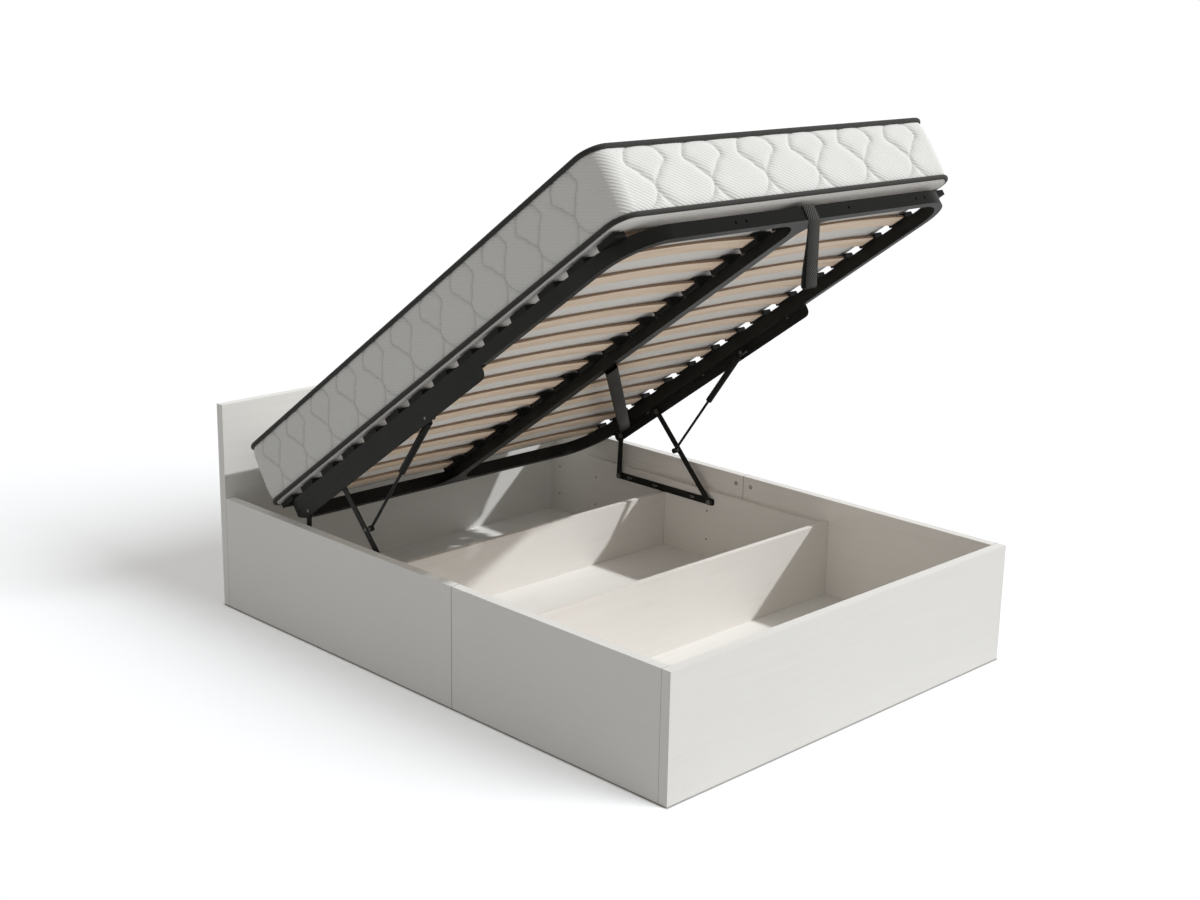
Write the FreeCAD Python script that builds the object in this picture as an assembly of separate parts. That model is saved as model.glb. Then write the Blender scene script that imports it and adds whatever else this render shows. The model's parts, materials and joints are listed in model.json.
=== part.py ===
import FreeCAD, Part
import math
import os

# Storage bed: a low panel box with a headboard, and a slatted frame with a mattress, lifted by gas springs.
# Millimetres. The origin is the middle of the footprint on the floor, +Y points to the headboard, +Z up.
# The lift frame is drawn lying flat, with z = 0 at the mattress's underside and y = -s, where s runs from
# the mattress's head edge to its foot. It is then set in its open position, which is how the bed rests.

# Panel box
box_width = 1465.0
box_length = 1965.0
rail_height = 365.0
headboard_height = 670.0
rail_thickness = 30.0
headboard_thickness = 30.0
foot_panel_thickness = 30.0
left_seam_setback = 1107.5
right_seam_setback = 924.5
lining_thickness = 16.0
ledge_drop = 80.0
divider_thickness = 18.0
head_divider_setback = 571.5
foot_divider_setback = 621.5
floor_thickness = 10.0
bearer_height = 32.0
bearer_width = 45.0
bearer_inset = 90.0
glide_height = 3.0
glide_radius = 12.0
glide_inset = 60.0

# Box fittings
cam_radius = 7.5
cam_depth = 12.0
cam_offset = 32.0
cam_drop = 32.0
cam_rise = 100.0
dowel_radius = 4.0
dowel_grip = 30.0
dowel_panel_grip = 15.0
dowel_drop = 70.0
dowel_rise = 60.0
hole_clearance = 0.1
lining_screw_radius = 4.0
lining_screw_grip = 12.0
lining_screw_rise = 110.0
lining_screw_drop = 72.0
lining_screw_end = 45.0
lining_screw_shares = (0.0, 0.16, 0.62, 1.0)

# Mattress and its room in the box
mattress_thickness = 213.0
side_gap = 7.0
head_gap = 30.0
foot_gap = 5.0
plan_radius = 65.0
cover_thickness = 12.0
top_thickness = 6.0
crown_height = 6.0
crown_slope = 220.0
piping_radius = 6.0
seam_gap = 0.3
border_bulge = 8.0
border_height_shares = (0.0, 0.06, 0.25, 0.5, 0.75, 0.94, 1.0)
border_bulge_shares = (0.0, 0.0, 0.72, 1.0, 0.72, 0.0, 0.0)
side_cells = 11
end_cells = 6
channel_width = 6.0
channel_depth = 4.0
channel_start_angle = 70.0
channel_wide_share = 0.32
channel_neck_share = 0.03
channel_foot_share = 0.27
channel_wide_height_share = 0.79
channel_neck_height_share = 0.455
channel_bulb_share = 0.72

# Open and closed positions of the lift frame
open_tilt = 35.3
open_head_setback = 173.7
open_head_drop = 6.6
closed_sink = 10.0

# Lift gear
base_plate_thickness = 4.0
base_plate_height = 24.0
base_plate_drop = 36.0
base_plate_end = 15.0
base_slot_length = 24.0
base_slot_width = 7.0
base_slot_shares = (0.10, 0.39, 0.80)
divider_clearance = 1.0
screw_head_radius = 5.5
screw_head_height = 2.5
screw_radius = 2.5
screw_grip = 12.0
arm_width = 20.0
arm_thickness = 4.0
arm_gap = 1.0
flange_gap = 1.0
pivot_radius = 5.0
pivot_fit = 0.05
face_gap = 0.3
rivet_head_radius = 9.0
rivet_head_height = 3.0
rear_pivot_s = 185.0
front_pivot_s = 395.0
bracket_thickness = 3.0
bracket_height = 34.0
bracket_leg = 15.0
bracket_start_s = 150.0
bracket_end_s = 1180.0
bracket_corner = 20.0
bracket_bolt_shares = (0.2, 0.5, 0.92)
bolt_head_radius = 5.5
bolt_head_height = 4.0
bolt_radius = 3.0
pivot_edge = 16.0

# Gas springs
gas_top_s = 878.0
gas_stud_share = 0.575
gas_offset = 18.5
cylinder_radius = 10.5
cylinder_length = 212.0
cylinder_neck = 22.0
neck_radius = 6.0
eye_radius = 9.0
eye_width = 12.0
rod_radius = 4.5
rod_grip = 30.0
stud_radius = 4.0
stud_ball_radius = 6.0
bore_end = 12.0

# Slatted frame
tube_height = 40.0
tube_width = 25.0
tube_wall = 1.5
tube_drop = 22.0
frame_head_setback = 20.0
frame_foot_setback = 10.0
bow_radius = 150.0
bow_leg = 60.0
sleeve_length = 80.0
sleeve_fit = 0.2
sleeve_wall = 2.0
beam_width = 40.0
beam_height = 30.0
gusset_leg = 80.0
gusset_thickness = 3.0
brace_width = 40.0
brace_height = 15.0
brace_beam_s = 945.0
brace_tube_s = 225.0
brace_gap = 1.0
foot_hole_radius = 4.0
foot_hole_shares = (-0.44, -0.38, 0.24, 0.69, 0.75)
slat_count = 14
slat_width = 53.0
slat_thickness = 8.0
slat_end_margin = 80.0
slat_rest = 0.3
holder_length = 70.0
holder_depth = 38.0
holder_height = 16.0
holder_floor = 2.0
holder_end_wall = 8.0
holder_fit = 0.3
pocket_height = 11.0
centre_holder_half = 34.0
centre_wall = 15.0

# Pull strap
strap_x = 0.0
strap_width = 48.0
strap_thickness = 2.5
strap_length = 185.0
strap_fit = 0.3
strap_lap = 22.0

# One overrun serves every cut that runs out of its solid
overrun = 5.0

# An edge counts as running along an axis when this share of its direction does
along_share = 0.5

# Places that follow from the sizes above
V = FreeCAD.Vector
X_AXIS = V(1, 0, 0)
Y_AXIS = V(0, 1, 0)
Z_AXIS = V(0, 0, 1)
half_width = box_width / 2
inner_half = half_width - rail_thickness
rail_middle_x = half_width - rail_thickness / 2
head_face_y = box_length / 2 - headboard_thickness
foot_face_y = foot_panel_thickness - box_length / 2
inner_length = head_face_y - foot_face_y
panel_bottom = glide_height
floor_bottom = panel_bottom + bearer_height
floor_top = floor_bottom + floor_thickness
ledge_z = rail_height - ledge_drop
lining_face = inner_half - lining_thickness
head_divider_y = head_face_y - head_divider_setback
foot_divider_y = foot_face_y + foot_divider_setback
lining_end_y = foot_divider_y + divider_thickness / 2
floor_spans = {"head_floor": (head_divider_y, head_face_y),
               "middle_floor": (foot_divider_y, head_divider_y),
               "foot_floor": (foot_face_y, foot_divider_y)}
base_z = ledge_z - base_plate_drop
head_divider_top = base_z - base_plate_height / 2 - divider_clearance
seams_y = {"left": head_face_y - left_seam_setback, "right": head_face_y - right_seam_setback}

mattress_half = inner_half - side_gap
mattress_length = inner_length - head_gap - foot_gap
cover_inset = 2 * piping_radius + seam_gap
top_seam_h = mattress_thickness - crown_height - top_thickness
plate_face = lining_face - base_plate_thickness
frame_half = plate_face - flange_gap
arm_outer_x = frame_half - bracket_thickness - arm_gap
arm_inner_x = arm_outer_x - arm_thickness
gas_x = arm_inner_x - gas_offset
frame_s0 = frame_head_setback
frame_s1 = mattress_length - frame_foot_setback
tube_top = -tube_drop
tube_bottom = tube_top - tube_height
beam_top = tube_bottom + beam_height
bracket_bottom = tube_bottom - bracket_height
pivot_h = bracket_bottom + pivot_edge
bolt_x = frame_half - (bracket_leg + bracket_thickness) / 2
bow_end_s0 = frame_s0 + bow_radius + bow_leg
bow_end_s1 = frame_s1 - bow_radius - bow_leg
slat_end_bottom = tube_top + holder_floor
slat_end_x = frame_half - holder_end_wall
slat_inner_x = centre_wall / 2 + holder_fit
slat_pitch = (frame_s1 - frame_s0 - 2 * slat_end_margin) / (slat_count - 1)
slat_places = [frame_s0 + slat_end_margin + i * slat_pitch for i in range(slat_count)]

open_head_y = head_face_y - open_head_setback
open_head_z = rail_height - open_head_drop
closed_head_y = head_face_y - head_gap
closed_z = rail_height - closed_sink
foot_divider_top = closed_z + tube_bottom - divider_clearance
tilt = math.radians(open_tilt)


def lifted(s, h):
    """Where a point of the lift frame is, as (y, z), with the bed open."""
    y = open_head_y - s * math.cos(tilt) + h * math.sin(tilt)
    z = open_head_z + s * math.sin(tilt) + h * math.cos(tilt)
    return y, z


def lowered(s, h):
    """Where the same point is with the bed closed."""
    return closed_head_y - s, closed_z + h


def ground_pivot(s, h):
    """The fixed pivot at the base plate's height that is equally far from the open and closed points."""
    open_y, open_z = lifted(s, h)
    closed_y, closed_h = lowered(s, h)
    run = closed_y - open_y
    rise = closed_h - open_z
    along = (base_z - (open_z + closed_h) / 2) / run
    return (open_y + closed_y) / 2 - along * rise, base_z


rear_top = lifted(rear_pivot_s, pivot_h)
front_top = lifted(front_pivot_s, pivot_h)
rear_base = ground_pivot(rear_pivot_s, pivot_h)
front_base = ground_pivot(front_pivot_s, pivot_h)
gas_top = lifted(gas_top_s, pivot_h)
gas_foot = tuple(a + gas_stud_share * (b - a) for a, b in zip(front_base, front_top))
gas_length = math.dist(gas_top, gas_foot)


# Helpers
def block(x0, x1, y0, y1, z0, z1):
    """Box between two corners."""
    return Part.makeBox(x1 - x0, y1 - y0, z1 - z0, V(x0, y0, z0))


def flat_block(x0, x1, s0, s1, h0, h1):
    """Box in the lift frame's own flat position."""
    return block(x0, x1, -s1, -s0, h0, h1)


def bar_x(x0, x1, y, z, radius):
    """Round bar along X."""
    return Part.makeCylinder(radius, x1 - x0, V(x0, y, z), X_AXIS)


def bar_y(y0, y1, x, z, radius):
    """Round bar along Y."""
    return Part.makeCylinder(radius, y1 - y0, V(x, y0, z), Y_AXIS)


def mirrored(shape):
    """The same shape on the other side of the bed."""
    return shape.mirror(V(0, 0, 0), X_AXIS)


def set_open(shape):
    """A shape of the flat lift frame, set in its open position."""
    placed = shape.copy()
    placed.rotate(V(0, 0, 0), X_AXIS, -open_tilt)
    placed.translate(V(0, open_head_y, open_head_z))
    return placed


def join(shapes):
    """One solid from touching shapes."""
    first = shapes[0]
    return first.multiFuse(shapes[1:]).removeSplitter() if shapes[1:] else first


def both_sides(shapes):
    """A group of separate solids with its mirror image."""
    return Part.makeCompound(shapes + [mirrored(s) for s in shapes])


def plan_wire(inset, r, h):
    """The mattress's outline with round corners, drawn in by an inset, at a height."""
    x = mattress_half - inset
    y0 = -mattress_length + inset
    y1 = -inset
    slant = r * (1 - math.sqrt(0.5))
    edges = []
    previous = V(-x + r, y0, h)
    for cx, cy, dx, dy in ((x, y0, 1, -1), (x, y1, 1, 1), (-x, y1, -1, 1), (-x, y0, -1, -1)):
        beside = V(cx, cy - dy * r, h)
        ahead = V(cx - dx * r, cy, h)
        middle = V(cx - dx * slant, cy - dy * slant, h)
        first, last = (beside, ahead) if dx == dy else (ahead, beside)
        edges.append(Part.LineSegment(previous, first).toShape())
        edges.append(Part.Arc(first, middle, last).toShape())
        previous = last
    return Part.Wire(edges)


def plan_slab(inset, h0, h1):
    """Flat slab with the mattress's rounded outline."""
    return Part.Face(plan_wire(inset, plan_radius - inset, h0)).extrude(V(0, 0, h1 - h0))


# Panel box
def rail(side, y0, y1):
    """One length of a side rail, with its cam pockets and dowel holes."""
    solid = block(inner_half, half_width, y0, y1, panel_bottom, rail_height)
    cuts = []
    for y, z in cam_places(side):
        cuts.append(bar_x(inner_half - overrun, inner_half + cam_depth, y, z, cam_radius + hole_clearance))
    for start, end, z in dowel_places(side):
        cuts.append(dowel_hole(start, end, z))
    for y, z in lining_screw_places():
        cuts.append(bar_x(inner_half - overrun, inner_half + lining_screw_grip, y, z,
                          lining_screw_radius + hole_clearance))
    return solid.cut(Part.makeCompound(cuts))


def cam_places(side):
    """Cam locks of one rail: at both ends and on each side of its seam, in two rows."""
    seam = seams_y[side]
    columns = (head_face_y - cam_offset, seam + cam_offset, seam - cam_offset, foot_face_y + cam_offset)
    return [(y, z) for y in columns for z in (rail_height - cam_drop, cam_rise)]


def dowel_places(side):
    """Dowels of one rail, as start, end and height: across the seam and into both end panels."""
    seam = seams_y[side]
    spans = ((seam - dowel_grip, seam + dowel_grip),
             (head_face_y - dowel_grip, head_face_y + dowel_panel_grip),
             (foot_face_y - dowel_panel_grip, foot_face_y + dowel_grip))
    return [(a, b, z) for a, b in spans for z in (rail_height - dowel_drop, dowel_rise)]


def dowel_hole(start, end, z):
    """Room for one dowel in the middle of the rail's thickness."""
    radius = dowel_radius + hole_clearance
    return bar_y(start - hole_clearance, end + hole_clearance, rail_middle_x, z, radius)


def lining_screw_places():
    """Screws through a lining into its rail, in two rows."""
    first = head_face_y - lining_screw_end
    last = lining_end_y + lining_screw_end
    columns = [first + share * (last - first) for share in lining_screw_shares]
    return [(y, z) for y in columns for z in (lining_screw_rise, ledge_z - lining_screw_drop)]


def on_side(side, shape):
    """A shape drawn for the right side, on the named side."""
    return shape if side == "right" else mirrored(shape)


def end_panel(y0, y1, height):
    """Headboard or foot panel with the rails' dowel holes."""
    solid = block(-half_width, half_width, y0, y1, panel_bottom, height)
    cuts = []
    for side in ("left", "right"):
        for start, end, z in dowel_places(side):
            cuts.append(on_side(side, dowel_hole(start, end, z)))
    return solid.cut(Part.makeCompound(cuts))


def lining():
    """Right lining, whose top edge is the ledge beside the lift frame."""
    solid = block(lining_face, inner_half, lining_end_y, head_face_y, floor_top, ledge_z)
    cuts = [bar_x(lining_face - overrun, inner_half + overrun, y, z, lining_screw_radius + hole_clearance)
            for y, z in lining_screw_places()]
    pilot = screw_radius + hole_clearance
    cuts += [bar_x(lining_face - overrun, lining_face + screw_grip, y, base_z, pilot) for y in base_slots()]
    return solid.cut(Part.makeCompound(cuts))


def bearers():
    """Cross battens under the three floor boards."""
    places = [y for a, b in floor_spans.values() for y in (a + bearer_inset, b - bearer_inset)]
    half = bearer_width / 2
    return [block(-inner_half, inner_half, y - half, y + half, panel_bottom, floor_bottom) for y in places]


def glides():
    """Round glides under the rails and the end panels."""
    places = []
    for side, sign in (("left", -1), ("right", 1)):
        seam = seams_y[side]
        ends = (head_face_y - glide_inset, foot_face_y + glide_inset)
        for y in ends + (seam + glide_inset, seam - glide_inset):
            places.append((sign * rail_middle_x, y))
        places.append((sign * (half_width - glide_inset), head_face_y + headboard_thickness / 2))
        places.append((sign * (half_width - glide_inset), foot_face_y - foot_panel_thickness / 2))
    return [Part.makeCylinder(glide_radius, glide_height, V(x, y, 0), Z_AXIS) for x, y in places]


# Lift gear, drawn for the right side
def base_slots():
    """Slot places along the base plate."""
    return [rear_base[0] + share * (front_base[0] - rear_base[0]) for share in base_slot_shares]


def slot_cut(y):
    """Long hole through the base plate."""
    reach = (base_slot_length - base_slot_width) / 2
    r = base_slot_width / 2
    x0 = plate_face - overrun
    x1 = lining_face + overrun
    middle = block(x0, x1, y - reach, y + reach, base_z - r, base_z + r)
    return join([middle, bar_x(x0, x1, y - reach, base_z, r), bar_x(x0, x1, y + reach, base_z, r)])


def base_plate():
    """Slotted plate on the lining, which carries both arms' lower pivots."""
    y0 = front_base[0] - base_plate_end
    y1 = rear_base[0] + base_plate_end
    r = base_plate_height / 2
    solid = block(plate_face, lining_face, y0, y1, base_z - r, base_z + r)
    ends = [e for e in solid.Edges if abs(e.tangentAt(e.FirstParameter).dot(X_AXIS)) > along_share]
    solid = solid.makeFillet(base_plate_end / 2, ends)
    cuts = [slot_cut(y) for y in base_slots()]
    cuts += [bar_x(plate_face - overrun, lining_face + overrun, y, base_z, pivot_radius)
             for y in (rear_base[0], front_base[0])]
    return solid.cut(Part.makeCompound(cuts))


def plate_screw(y):
    """Pan-head screw through a slot into the lining."""
    head = bar_x(plate_face - screw_head_height, plate_face, y, base_z, screw_head_radius)
    shank = bar_x(plate_face, lining_face + screw_grip, y, base_z, screw_radius)
    return join([head, shank])


def shoulder_rivet(point, seat_x, end_x):
    """Rivet from its head to end_x: the shoulder spaces an arm off the seat and the head keeps it on."""
    y, z = point
    head_x = arm_inner_x - face_gap
    shank = bar_x(head_x, end_x, y, z, pivot_radius)
    shoulder = bar_x(arm_outer_x + face_gap, seat_x, y, z, rivet_head_radius)
    head = bar_x(head_x - rivet_head_height, head_x, y, z, rivet_head_radius)
    return join([shank, shoulder, head])


def base_pivot(point):
    """Rivet in the base plate for an arm's lower end."""
    return shoulder_rivet(point, plate_face, lining_face)


def frame_pivot():
    """Rivet in the lift bracket for the rear arm's upper end."""
    return shoulder_rivet(rear_top, frame_half - bracket_thickness, frame_half)


def arm(low, high, holes):
    """Flat arm with round ends between two pivots."""
    length = math.dist(low, high)
    angle = math.degrees(math.atan2(high[1] - low[1], high[0] - low[0]))
    r = arm_width / 2
    solid = join([block(arm_inner_x, arm_outer_x, 0, length, -r, r),
                  bar_x(arm_inner_x, arm_outer_x, 0, 0, r),
                  bar_x(arm_inner_x, arm_outer_x, length, 0, r)])
    cuts = [bar_x(arm_inner_x - overrun, arm_outer_x + overrun, share * length, 0, radius)
            for share, radius in holes]
    solid = solid.cut(Part.makeCompound(cuts))
    solid.rotate(V(0, 0, 0), X_AXIS, angle)
    solid.translate(V(0, low[0], low[1]))
    return solid


def rear_arm():
    """Short arm between the base plate and the bracket's rear pivot."""
    running = pivot_radius + pivot_fit
    return arm(rear_base, rear_top, ((0.0, running), (1.0, running)))


def front_arm():
    """Long arm, with the gas spring's stud in it."""
    running = pivot_radius + pivot_fit
    return arm(front_base, front_top, ((0.0, running), (gas_stud_share, stud_radius), (1.0, pivot_radius)))


def arm_studs():
    """Rivet at the front arm's top and stud with a ball end for the gas spring's rod."""
    y, z = front_top
    head = bar_x(arm_inner_x - rivet_head_height, arm_inner_x, y, z, rivet_head_radius)
    rivet = join([head, bar_x(arm_inner_x, arm_outer_x, y, z, pivot_radius)])
    y, z = gas_foot
    tip = gas_x + eye_width / 2 + face_gap
    ball = bar_x(tip, tip + stud_ball_radius, y, z, stud_ball_radius)
    stud = join([ball, bar_x(tip, arm_outer_x, y, z, stud_radius)])
    return [rivet, stud]


def along_gas(shape):
    """A shape drawn along +Y from the origin, laid along the gas spring from its upper pivot."""
    angle = math.degrees(math.atan2(gas_foot[1] - gas_top[1], gas_foot[0] - gas_top[0]))
    shape.rotate(V(0, 0, 0), X_AXIS, angle)
    shape.translate(V(gas_x, gas_top[0], gas_top[1]))
    return shape


def gas_cylinder():
    """Gas spring cylinder with its upper eye and the bore that the rod slides in."""
    half = eye_width / 2
    tube_end = cylinder_neck + cylinder_length
    solid = join([bar_x(-half, half, 0, 0, eye_radius),
                  bar_y(0, cylinder_neck + bore_end, 0, 0, neck_radius),
                  bar_y(cylinder_neck, tube_end, 0, 0, cylinder_radius)])
    eye = bar_x(-half - overrun, half + overrun, 0, 0, stud_radius + pivot_fit)
    bore = bar_y(cylinder_neck + bore_end, tube_end + overrun, 0, 0, rod_radius + pivot_fit)
    return along_gas(solid.cut(Part.makeCompound([eye, bore])))


def gas_rod():
    """Gas spring rod with its lower eye, which faces the front arm's stud."""
    half = eye_width / 2
    start = cylinder_neck + cylinder_length - rod_grip
    rod = bar_y(start, gas_length, 0, 0, rod_radius)
    return along_gas(join([rod, bar_x(-half, half, gas_length, 0, eye_radius)]))


def gas_stud():
    """Stud in the lift bracket that the gas spring's upper eye turns on."""
    y, z = gas_top
    half = eye_width / 2
    shank = bar_x(gas_x - half - face_gap, frame_half, y, z, stud_radius)
    inner = gas_x - half - face_gap
    head = bar_x(inner - rivet_head_height, inner, y, z, stud_ball_radius)
    collar = bar_x(gas_x + half + face_gap, frame_half - bracket_thickness, y, z, stud_ball_radius)
    return join([shank, head, collar])


def lift_bracket():
    """Angle bar under the side tube: a narrow leg against the tube and a deep flange for the pivots."""
    leg_bottom = tube_bottom - bracket_thickness
    leg = flat_block(frame_half - bracket_leg, frame_half, bracket_start_s, bracket_end_s,
                     leg_bottom, tube_bottom)
    flange = flat_block(frame_half - bracket_thickness, frame_half, bracket_start_s, bracket_end_s,
                        bracket_bottom, leg_bottom)
    low = [e for e in flange.Edges
           if abs(e.tangentAt(e.FirstParameter).dot(X_AXIS)) > along_share and e.CenterOfMass.z < pivot_h]
    flange = flange.makeFillet(bracket_corner, low)
    solid = join([leg, flange])
    x0 = frame_half - bracket_thickness - overrun
    x1 = frame_half + overrun
    cuts = [bar_x(x0, x1, -rear_pivot_s, pivot_h, pivot_radius),
            bar_x(x0, x1, -gas_top_s, pivot_h, stud_radius)]
    for s in bolt_places():
        cuts.append(bolt_shank(s, bolt_radius + hole_clearance))
    return solid.cut(Part.makeCompound(cuts))


def bolt_places():
    """Bolts that hold the lift bracket to its tube, along s."""
    return [bracket_start_s + share * (bracket_end_s - bracket_start_s) for share in bracket_bolt_shares]


def bolt_shank(s, radius):
    """Round bar from under the bracket's leg through the tube's lower wall."""
    low = tube_bottom - bracket_thickness
    high = tube_bottom + tube_wall
    return Part.makeCylinder(radius, high - low, V(bolt_x, -s, low), Z_AXIS)


def bracket_bolt(s):
    """Bolt with its head under the bracket's leg."""
    low = tube_bottom - bracket_thickness - bolt_head_height
    head = Part.makeCylinder(bolt_head_radius, bolt_head_height, V(bolt_x, -s, low), Z_AXIS)
    return join([head, bolt_shank(s, bolt_radius)])


# Slatted frame
def bow_core(offset, spare):
    """Solid run of the head bow's section, drawn in by an offset, with a spare length on its legs."""
    low = tube_bottom + offset
    high = tube_top - offset
    outer = bow_radius - offset
    inner = bow_radius - tube_width + offset
    bend_s = frame_s0 + bow_radius
    bend_x = frame_half - bow_radius
    leg_out = frame_half - offset
    leg_in = frame_half - tube_width + offset
    straight = flat_block(-bend_x, bend_x, frame_s0 + offset, frame_s0 + tube_width - offset, low, high)
    ring = Part.makeCylinder(outer, high - low, V(bend_x, -bend_s, low), Z_AXIS, 90)
    ring = ring.cut(Part.makeCylinder(inner, high - low, V(bend_x, -bend_s, low), Z_AXIS, 90))
    leg = flat_block(leg_in, leg_out, bend_s, bow_end_s0 + spare, low, high)
    return join([straight, ring, mirrored(ring), leg, mirrored(leg)])


def head_bow():
    """Bent end tube at the head."""
    return bow_core(0, 0).cut(bow_core(tube_wall, overrun))


def foot_bow():
    """Bent end tube at the foot: the head bow turned end for end, with its holes and the strap's."""
    solid = head_bow()
    solid.rotate(V(0, 0, 0), Z_AXIS, 180)
    solid.translate(V(0, -frame_s0 - frame_s1, 0))
    middle = (tube_top + tube_bottom) / 2
    y0 = -frame_s1 - overrun
    y1 = -frame_s1 + tube_wall + overrun
    cuts = [bar_y(y0, y1, share * frame_half, middle, foot_hole_radius) for share in foot_hole_shares]
    cuts.append(strap_shank(bolt_radius + hole_clearance))
    return solid.cut(Part.makeCompound(cuts))


def side_tube():
    """Straight side tube between the bows."""
    x0 = frame_half - tube_width
    outer = flat_block(x0, frame_half, bow_end_s0, bow_end_s1, tube_bottom, tube_top)
    inner = flat_block(x0 + tube_wall, frame_half - tube_wall, bow_end_s0 - overrun, bow_end_s1 + overrun,
                       tube_bottom + tube_wall, tube_top - tube_wall)
    bolts = [bolt_shank(s, bolt_radius + hole_clearance) for s in bolt_places()]
    return outer.cut(Part.makeCompound([inner] + bolts))


def sleeve(s):
    """Inner sleeve that joins a bow to a side tube."""
    skin = tube_wall + sleeve_fit
    x0 = frame_half - tube_width + skin
    x1 = frame_half - skin
    z0 = tube_bottom + skin
    z1 = tube_top - skin
    reach = sleeve_length / 2
    outer = flat_block(x0, x1, s - reach, s + reach, z0, z1)
    inner = flat_block(x0 + sleeve_wall, x1 - sleeve_wall, s - reach - overrun, s + reach + overrun,
                       z0 + sleeve_wall, z1 - sleeve_wall)
    return outer.cut(inner)


def centre_beam():
    """Lengthwise beam under the slats' inner ends."""
    half = beam_width / 2
    s0 = frame_s0 + tube_width
    s1 = frame_s1 - tube_width
    outer = flat_block(-half, half, s0, s1, tube_bottom, beam_top)
    inner = flat_block(-half + tube_wall, half - tube_wall, s0 - overrun, s1 + overrun,
                       tube_bottom + tube_wall, beam_top - tube_wall)
    return outer.cut(inner)


def gusset(s, way):
    """Plate with a hollow curve in the corner of the beam and an end tube; way is 1 towards the foot."""
    x0 = beam_width / 2
    corner = V(x0, -s, tube_bottom)
    beside = V(x0 + gusset_leg, -s, tube_bottom)
    ahead = V(x0, -s - way * gusset_leg, tube_bottom)
    sag = gusset_leg * (1 - math.sqrt(0.5))
    middle = V(x0 + sag, -s - way * sag, tube_bottom)
    edges = [Part.LineSegment(corner, beside).toShape(), Part.Arc(beside, middle, ahead).toShape(),
             Part.LineSegment(ahead, corner).toShape()]
    return Part.Face(Part.Wire(edges)).extrude(V(0, 0, gusset_thickness))


def diagonal_brace():
    """Flat tube under the right half, from the beam to the side tube, cut parallel to both."""
    x1 = frame_half - bracket_leg - brace_gap
    run = math.hypot(x1, brace_beam_s - brace_tube_s)
    angle = math.degrees(math.atan2(brace_beam_s - brace_tube_s, x1))
    half = brace_width / 2
    z0 = tube_bottom - brace_height
    outer = block(-brace_width, run + brace_width, -half, half, z0, tube_bottom)
    inner = block(-brace_width - overrun, run + brace_width + overrun, -half + tube_wall, half - tube_wall,
                  z0 + tube_wall, tube_bottom - tube_wall)
    tube = outer.cut(inner)
    tube.rotate(V(0, 0, 0), Z_AXIS, angle)
    tube.translate(V(0, -brace_beam_s, 0))
    room = block(0, x1, -mattress_length, 0, z0 - overrun, tube_bottom + overrun)
    return tube.common(room)


def slat(s):
    """Bowed slat of the right half, with its crown just under the mattress."""
    middle = (slat_inner_x + slat_end_x) / 2
    crown = -slat_rest

    def curve(end_z, top_z):
        return V(slat_inner_x, 0, end_z), V(middle, 0, top_z), V(slat_end_x, 0, end_z)

    low = curve(slat_end_bottom, crown - slat_thickness)
    high = curve(slat_end_bottom + slat_thickness, crown)
    edges = [Part.Arc(*low).toShape(), Part.LineSegment(low[2], high[2]).toShape(),
             Part.Arc(*high).toShape(), Part.LineSegment(high[0], low[0]).toShape()]
    face = Part.Face(Part.Wire(Part.__sortEdges__(edges)))
    solid = face.extrude(V(0, slat_width, 0))
    solid.translate(V(0, -s - slat_width / 2, 0))
    return solid


def pocket(x0, x1, s):
    """Room in a holder for a slat's end."""
    half = slat_width / 2 + holder_fit
    return flat_block(x0, x1, s - half, s + half, slat_end_bottom, slat_end_bottom + pocket_height)


def side_holder(s):
    """Slat shoe on a side tube."""
    half = holder_length / 2
    x0 = frame_half - holder_depth
    solid = flat_block(x0, frame_half, s - half, s + half, tube_top, tube_top + holder_height)
    return solid.cut(pocket(x0 - overrun, slat_end_x + holder_fit, s))


def centre_holder(s):
    """Double slat shoe on the centre beam."""
    half = holder_length / 2
    solid = flat_block(-centre_holder_half, centre_holder_half, s - half, s + half, beam_top,
                       tube_top + holder_height)
    room = pocket(slat_inner_x - holder_fit, centre_holder_half + overrun, s)
    return solid.cut(Part.makeCompound([room, mirrored(room)]))


# Mattress
def border():
    """Side band of the mattress, full between its two piped seams."""
    rise = top_seam_h - cover_thickness
    wires = []
    for height_share, bulge_share in zip(border_height_shares, border_bulge_shares):
        inset = cover_inset - bulge_share * border_bulge
        wires.append(plan_wire(inset, plan_radius - inset, cover_thickness + height_share * rise))
    skin = Part.makeLoft(wires, True, False)
    hollow = plan_slab(cover_inset + cover_thickness, cover_thickness - overrun, top_seam_h + overrun)
    return skin.cut(Part.makeCompound([hollow] + channels()))


def channel_edge(pitch, offset):
    """One edge of a quilting line, in the plane of X across the cell and Y up: a bulb, a neck and a flare."""
    rise = top_seam_h - cover_thickness
    wide = channel_wide_share * pitch
    neck = channel_neck_share * pitch
    flare = channel_foot_share * pitch - neck
    wide_h = channel_wide_height_share * rise
    neck_h = channel_neck_height_share * rise
    narrowing = wide - neck
    reach = (narrowing ** 2 + (wide_h - neck_h) ** 2) / (2 * narrowing)
    bulb_r = channel_bulb_share * reach
    neck_r = reach - bulb_r
    flare_r = (flare ** 2 + neck_h ** 2) / (2 * flare)
    turn = math.degrees(math.atan2(neck_h - wide_h, reach - narrowing))
    end = 180 + math.degrees(math.asin(neck_h / flare_r))
    runs = ((wide - bulb_r, wide_h, bulb_r + offset, channel_start_angle, turn),
            (neck + neck_r, neck_h, neck_r - offset, turn + 180, 180),
            (neck + flare_r, neck_h, flare_r - offset, 180, end))
    edges = []
    for x, y, r, start, stop in runs:
        points = []
        for angle in (start, (start + stop) / 2, stop):
            points.append(V(x + r * math.cos(math.radians(angle)), y + r * math.sin(math.radians(angle)), 0))
        edges.append(Part.Arc(*points).toShape())
    return edges


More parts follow.
